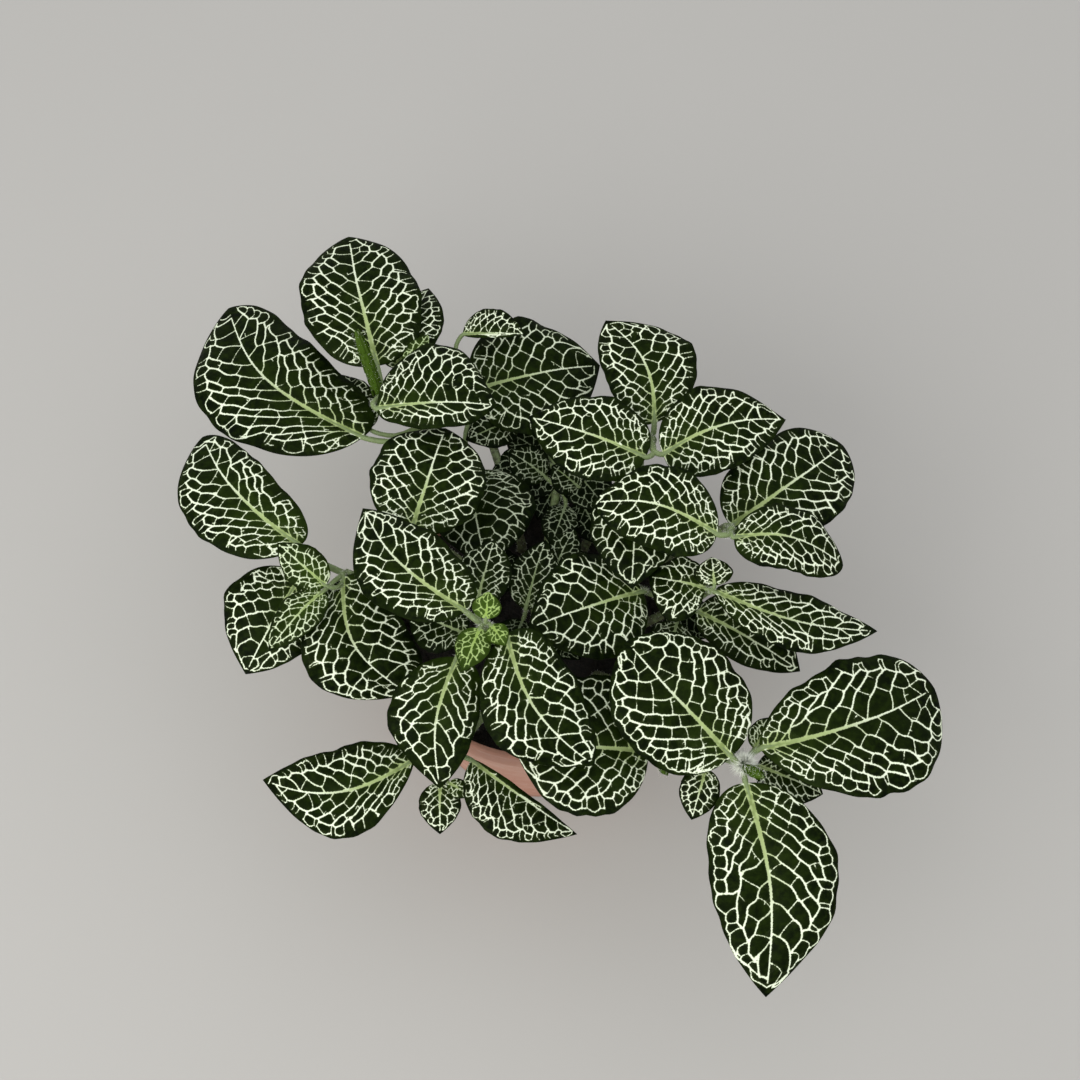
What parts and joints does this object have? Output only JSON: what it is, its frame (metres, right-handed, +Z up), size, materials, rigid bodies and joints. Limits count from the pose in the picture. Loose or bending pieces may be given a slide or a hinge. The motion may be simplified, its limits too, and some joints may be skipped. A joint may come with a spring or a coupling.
{
  "type": "potted nerve plant",
  "caption": "Low leafy house plant with broad dark leaves netted in white, sprawling over a plain round tapered pot.",
  "frame": {"origin": "middle of the flat face under the pot, on the surface that the pot stands on", "axes": "+Z up along the pot's axis, +X to the right and +Y away from the viewer in the usual view from above"},
  "size_m": [0.2683, 0.2802, 0.1534],
  "materials": {
    "pot": "matt moulded, pinkish terracotta colour",
    "soil": "dark damp peat compost, crumbly",
    "leaf": "satin leaf, dark green with a raised pale vein net"
  },
  "bodies": {
    "root": {"pot": "pot", "soil": "soil", "stem_upper_left": "leaf", "stem_left": "leaf", "stem_centre_left": "leaf", "stem_inner_left": "leaf", "stem_top": "leaf", "stem_upper_right": "leaf", "stem_right": "leaf", "stem_lower_middle_right": "leaf", "stem_lower_right": "leaf", "stem_bottom": "leaf", "stem_middle": "leaf", "stem_inner": "leaf", "stem_inner_top": "leaf", "stem_lower_left": "leaf"}
  },
  "joints": []
}
